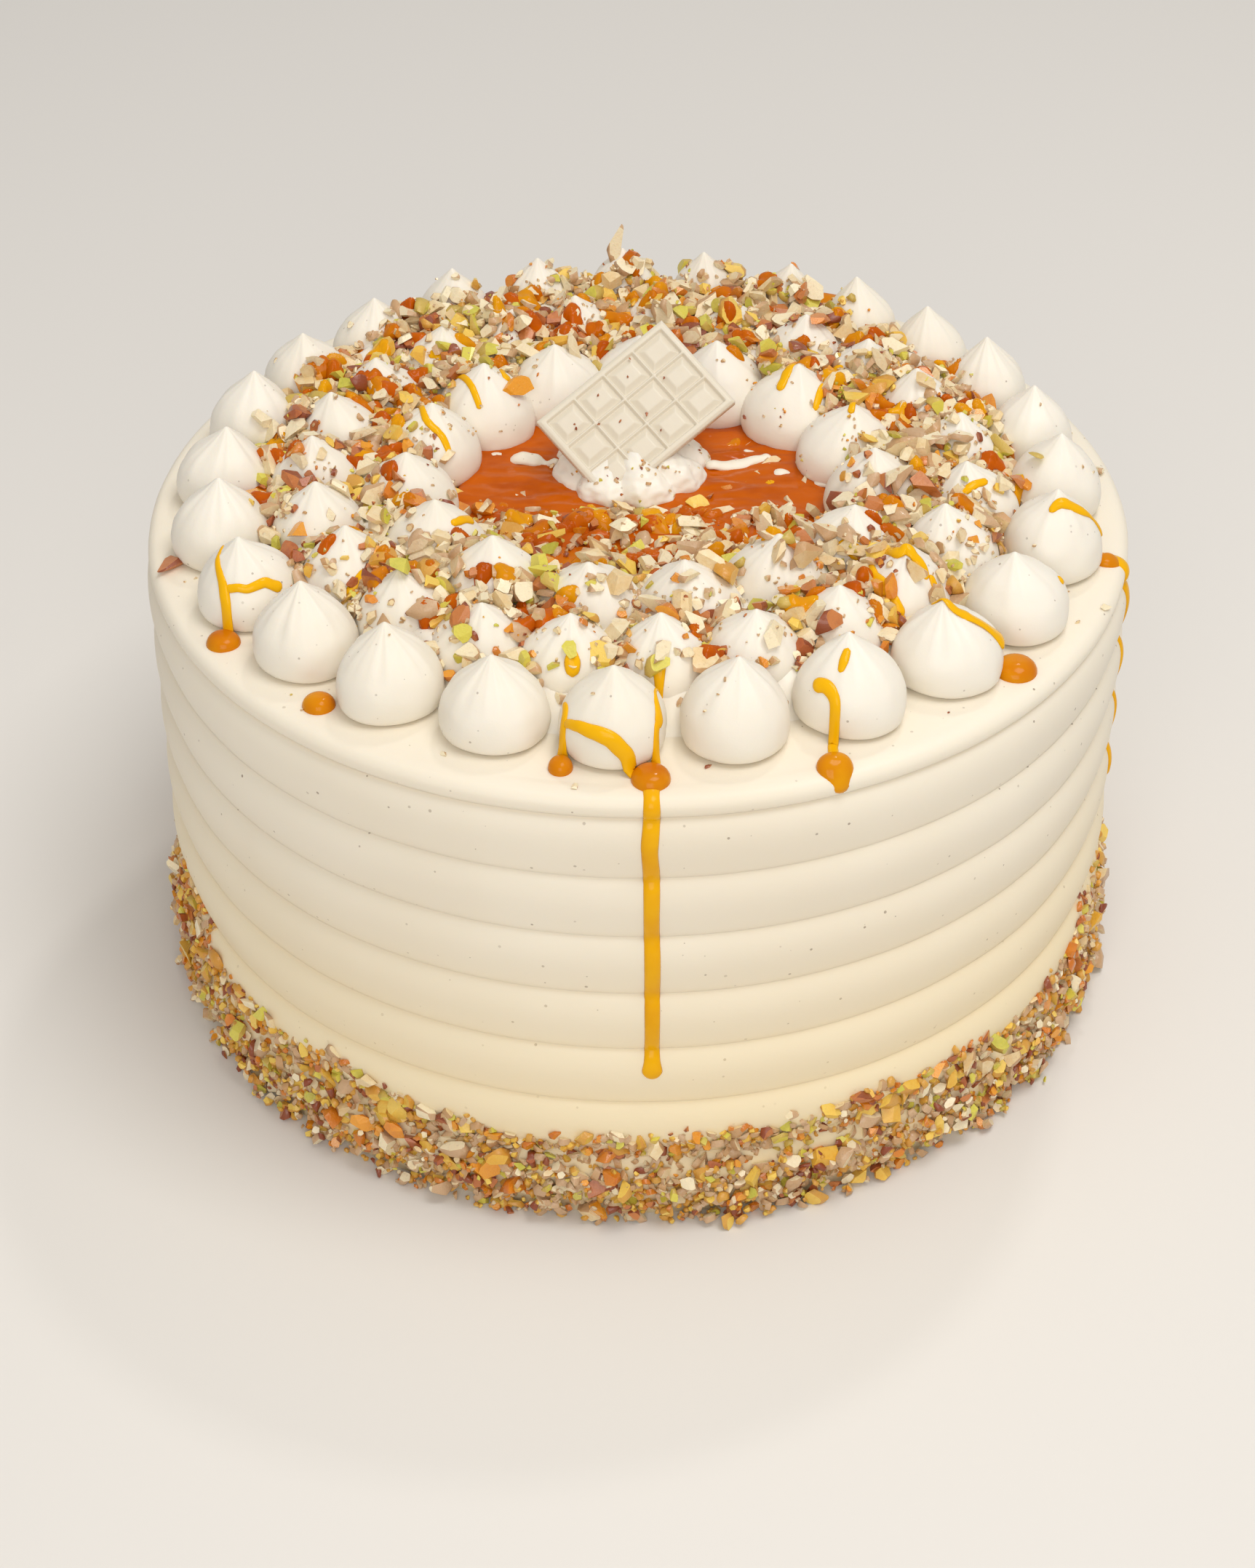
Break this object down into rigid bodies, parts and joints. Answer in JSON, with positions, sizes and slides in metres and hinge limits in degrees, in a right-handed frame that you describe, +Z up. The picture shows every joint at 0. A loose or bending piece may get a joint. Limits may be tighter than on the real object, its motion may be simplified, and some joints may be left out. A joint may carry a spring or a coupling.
{
  "type": "carrot cake",
  "caption": "Round carrot cake with ribbed cream frosting, rings of piped dollops, a rosette with a chocolate plaque, caramel drips and a band of chopped nuts round its foot.",
  "frame": {"origin": "middle of the flat underside of the cake", "axes": "+Z up, -Y towards the front with the long caramel drip, +X to the right as seen from the front"},
  "size_m": [0.2161, 0.2172, 0.1379],
  "materials": {
    "cream_frosting": "smooth satin cream frosting with fine specks",
    "piped_cream": "satin piped cream",
    "white_chocolate": "satin white chocolate",
    "caramel": "wet glossy caramel",
    "chopped_nuts": "dry chopped nuts in several colours"
  },
  "bodies": {
    "root": {"cake": "cream_frosting", "dollop_outer_01": "piped_cream", "dollop_outer_02": "piped_cream", "dollop_outer_03": "piped_cream", "dollop_outer_04": "piped_cream", "dollop_outer_05": "piped_cream", "dollop_outer_06": "piped_cream", "dollop_outer_07": "piped_cream", "dollop_outer_08": "piped_cream", "dollop_outer_09": "piped_cream", "dollop_outer_10": "piped_cream", "dollop_outer_11": "piped_cream", "dollop_outer_12": "piped_cream", "dollop_outer_13": "piped_cream", "dollop_outer_14": "piped_cream", "dollop_outer_15": "piped_cream", "dollop_outer_16": "piped_cream", "dollop_outer_17": "piped_cream", "dollop_outer_18": "piped_cream", "dollop_outer_19": "piped_cream", "dollop_outer_20": "piped_cream", "dollop_outer_21": "piped_cream", "dollop_outer_22": "piped_cream", "dollop_outer_23": "piped_cream", "dollop_outer_24": "piped_cream", "dollop_outer_25": "piped_cream", "dollop_middle_01": "piped_cream", "dollop_middle_02": "piped_cream", "dollop_middle_03": "piped_cream", "dollop_middle_04": "piped_cream", "dollop_middle_05": "piped_cream", "dollop_middle_06": "piped_cream", "dollop_middle_07": "piped_cream", "dollop_middle_08": "piped_cream", "dollop_middle_09": "piped_cream", "dollop_middle_10": "piped_cream", "dollop_middle_11": "piped_cream", "dollop_middle_12": "piped_cream", "dollop_middle_13": "piped_cream", "dollop_middle_14": "piped_cream", "dollop_middle_15": "piped_cream", "dollop_middle_16": "piped_cream", "dollop_middle_17": "piped_cream", "dollop_middle_18": "piped_cream", "dollop_middle_19": "piped_cream", "dollop_middle_20": "piped_cream", "dollop_middle_21": "piped_cream", "dollop_middle_22": "piped_cream", "dollop_middle_23": "piped_cream", "dollops_inner": "piped_cream", "rosette": "piped_cream", "plaque": "white_chocolate", "caramel_pool": "caramel"}
  },
  "joints": []
}
